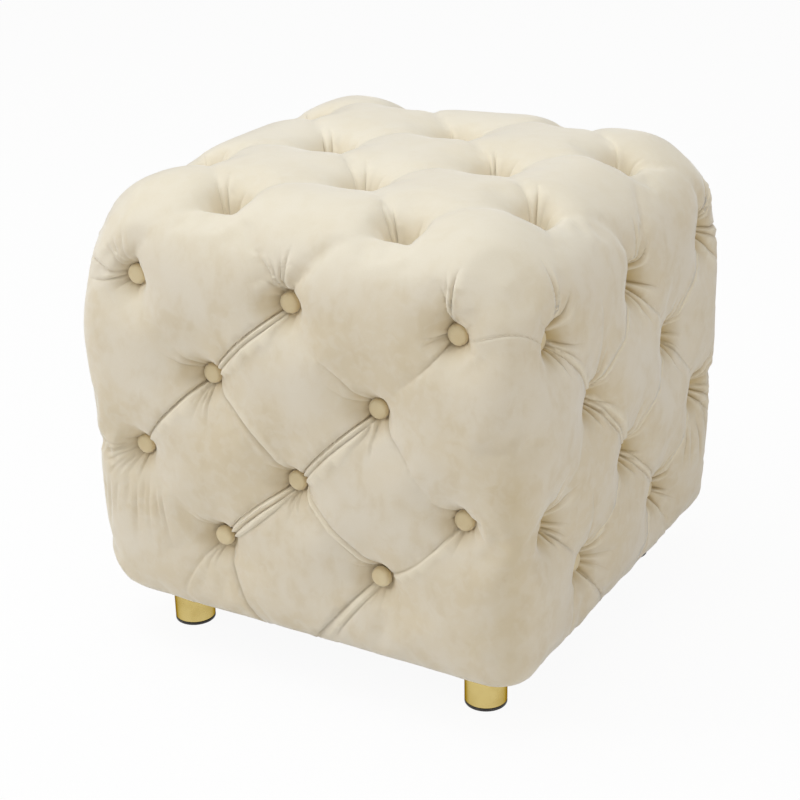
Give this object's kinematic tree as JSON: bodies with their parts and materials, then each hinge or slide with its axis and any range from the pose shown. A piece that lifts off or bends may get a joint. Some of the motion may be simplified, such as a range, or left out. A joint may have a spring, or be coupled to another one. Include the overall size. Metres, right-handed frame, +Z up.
{
  "type": "footstool",
  "caption": "Cube-shaped footstool with deep-buttoned velvet padding on its top and sides, on short straight gold metal legs with dark glides.",
  "frame": {"origin": "centre of the stool on the floor that its glides stand on", "axes": "+Z up, -Y out of the front side, +X to the right seen from the front"},
  "size_m": [0.425, 0.425, 0.4155],
  "materials": {
    "velvet": "cream short-pile velvet",
    "button_velvet": "buttons covered in the same velvet",
    "foam": "pale yellow open-cell foam",
    "plywood": "bare plywood",
    "softwood": "sawn softwood",
    "dust_cloth": "black non-woven cloth",
    "gold_metal": "polished gold plating",
    "black_plastic": "matt black moulded plastic",
    "zinc_steel": "zinc-plated steel"
  },
  "bodies": {
    "root": {"tufted_pad_front": "velvet", "tufted_pad_back": "velvet", "tufted_pad_left": "velvet", "tufted_pad_right": "velvet", "tufted_pad_top": "velvet", "buttons_front_row_1": "button_velvet", "buttons_front_row_2": "button_velvet", "buttons_front_row_3": "button_velvet", "buttons_front_row_4": "button_velvet", "buttons_back_row_1": "button_velvet", "buttons_back_row_2": "button_velvet", "buttons_back_row_3": "button_velvet", "buttons_back_row_4": "button_velvet", "buttons_left_row_1": "button_velvet", "buttons_left_row_2": "button_velvet", "buttons_left_row_3": "button_velvet", "buttons_left_row_4": "button_velvet", "buttons_right_row_1": "button_velvet", "buttons_right_row_2": "button_velvet", "buttons_right_row_3": "button_velvet", "buttons_right_row_4": "button_velvet", "buttons_top_row_1": "button_velvet", "buttons_top_row_2": "button_velvet", "buttons_top_row_3": "button_velvet", "buttons_top_row_4": "button_velvet", "buttons_top_row_5": "button_velvet", "foam_front": "foam", "foam_back": "foam", "foam_left": "foam", "foam_right": "foam", "foam_top": "foam", "front_panel": "plywood", "back_panel": "plywood", "left_panel": "plywood", "right_panel": "plywood", "top_board": "plywood", "base_board": "plywood", "corner_block_front_left": "softwood", "corner_block_front_right": "softwood", "corner_block_back_left": "softwood", "corner_block_back_right": "softwood", "dust_cover": "dust_cloth", "leg_front_left": "gold_metal", "leg_front_right": "gold_metal", "leg_back_left": "gold_metal", "leg_back_right": "gold_metal", "leg_glide_front_left": "black_plastic", "leg_glide_front_right": "black_plastic", "leg_glide_back_left": "black_plastic", "leg_glide_back_right": "black_plastic", "leg_bolt_front_left": "zinc_steel", "leg_bolt_front_right": "zinc_steel", "leg_bolt_back_left": "zinc_steel", "leg_bolt_back_right": "zinc_steel", "leg_nut_front_left": "zinc_steel", "leg_nut_front_right": "zinc_steel", "leg_nut_back_left": "zinc_steel", "leg_nut_back_right": "zinc_steel"}
  },
  "joints": []
}
